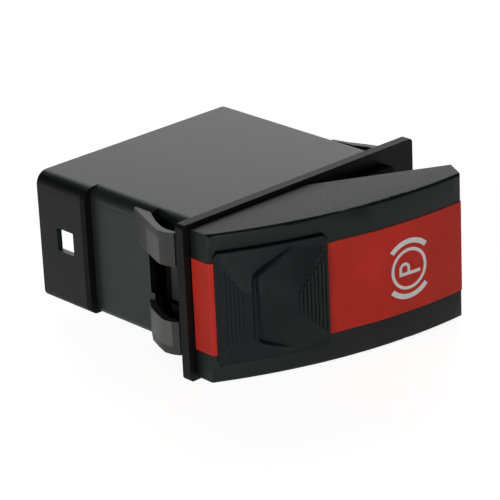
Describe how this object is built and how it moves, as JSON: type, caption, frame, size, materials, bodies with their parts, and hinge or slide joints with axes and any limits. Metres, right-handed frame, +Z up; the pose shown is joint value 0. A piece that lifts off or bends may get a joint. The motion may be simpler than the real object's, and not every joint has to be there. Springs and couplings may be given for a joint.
{
  "type": "parking brake switch",
  "caption": "Panel-mounted rocker switch for a vehicle's electric parking brake, with a red symbol band and a sliding thumb lock.",
  "frame": {"origin": "middle of the panel's cut-out, in the plane that the back of the flange rests on", "axes": "+X along the switch towards its symbol end, +Y through the panel towards the plug, +Z up"},
  "size_m": [0.05, 0.0549, 0.0258],
  "materials": {
    "housing_black": "fine grained nylon, off black",
    "seal_rubber": "soft black rubber",
    "base_black": "plain black moulding",
    "board_green": "green board lacquer",
    "lamp_white": "small white lamp body",
    "resistor_black": "surface mounted resistors",
    "guide_clear": "clear light guide",
    "catch_pale": "unpigmented moulding",
    "pin_steel": "drawn steel",
    "cap_black": "fine grained black",
    "label_red": "satin red moulding",
    "frame_grey": "dark grey moulding",
    "spring_steel": "spring wire",
    "slider_black": "satin black moulding",
    "keeper_grey": "grey moulding",
    "carriage_cream": "natural nylon",
    "bridge_copper": "rolled copper alloy",
    "plunger_steel": "polished steel",
    "blade_brass": "tinned brass"
  },
  "bodies": {
    "housing": {"housing": "housing_black", "dust_seal": "seal_rubber", "terminal_base": "base_black", "terminal_1": "blade_brass", "terminal_2": "blade_brass", "terminal_3": "blade_brass", "terminal_4": "blade_brass", "terminal_5": "blade_brass", "terminal_6": "blade_brass", "terminal_7": "blade_brass", "terminal_8": "blade_brass", "circuit_board": "board_green", "symbol_lamp": "lamp_white", "board_resistors": "resistor_black", "light_guide": "guide_clear", "lock_catch": "catch_pale", "pivot_pin": "pin_steel"},
    "rocker": {"rocker_cap": "cap_black", "red_label": "label_red", "rocker_frame": "frame_grey", "lock_spring": "spring_steel"},
    "lock": {"lock_slider": "slider_black", "lock_keeper": "keeper_grey"},
    "carriage": {"contact_carriage": "carriage_cream", "contact_bridge_1": "bridge_copper", "contact_bridge_2": "bridge_copper", "detent_spring": "spring_steel", "detent_plunger": "plunger_steel"}
  },
  "joints": [
    {"name": "rocker_swing", "type": "hinge", "parent": "housing", "child": "rocker", "pos_m": [0, 0.0003, 0], "axis": [0, 0, 1], "range_deg": [0, 27]},
    {"name": "lock_slide", "type": "hinge", "parent": "rocker", "child": "lock", "pos_m": [0.01796, 0.06534, 0], "axis": [0, 0, 1], "range_deg": [0, 1.74], "stiffness_Nm_per_rad": 3.4, "springref_deg": -0.69, "deforming": ["lock_spring"]},
    {"name": "carriage_slide", "type": "slide", "parent": "housing", "child": "carriage", "axis": [1, 0, 0], "range_m": [-0.00598, 0]}
  ],
  "couplings": [
    {"joint": "carriage_slide", "follows": "rocker_swing", "m_per_rad": -0.012678}
  ]
}
